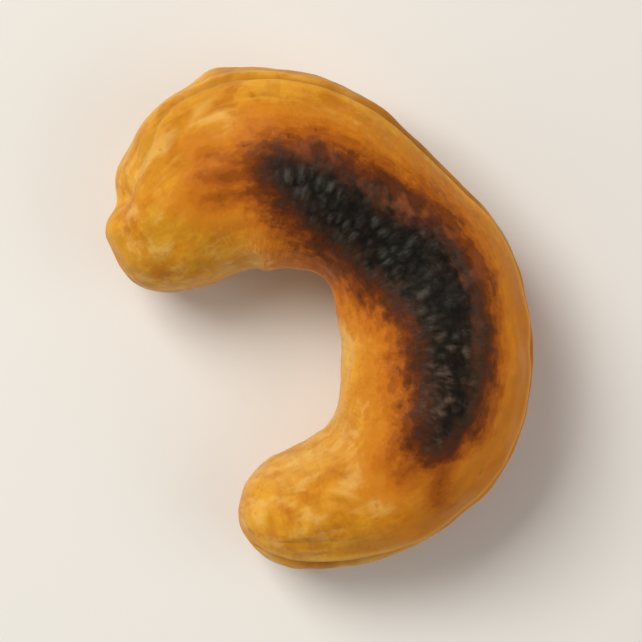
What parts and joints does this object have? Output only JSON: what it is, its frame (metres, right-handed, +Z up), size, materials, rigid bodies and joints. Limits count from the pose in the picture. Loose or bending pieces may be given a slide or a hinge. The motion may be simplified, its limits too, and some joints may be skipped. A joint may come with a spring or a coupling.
{
  "type": "roasted cashew nut",
  "caption": "Whole roasted cashew kernel, a plump C with a broad end and a narrow end, a seam along its outer edge, and a scorched top.",
  "frame": {"origin": "middle of the outline seen from above, on the surface that the kernel lies on", "axes": "+X along the kernel from its broad end to its narrow end, the C opens towards -Y, +Z up from the surface that it lies on"},
  "size_m": [0.0262, 0.0188, 0.0102],
  "materials": {
    "roasted_kernel": "satin"
  },
  "bodies": {
    "root": {"cashew_kernel": "roasted_kernel"}
  },
  "joints": []
}
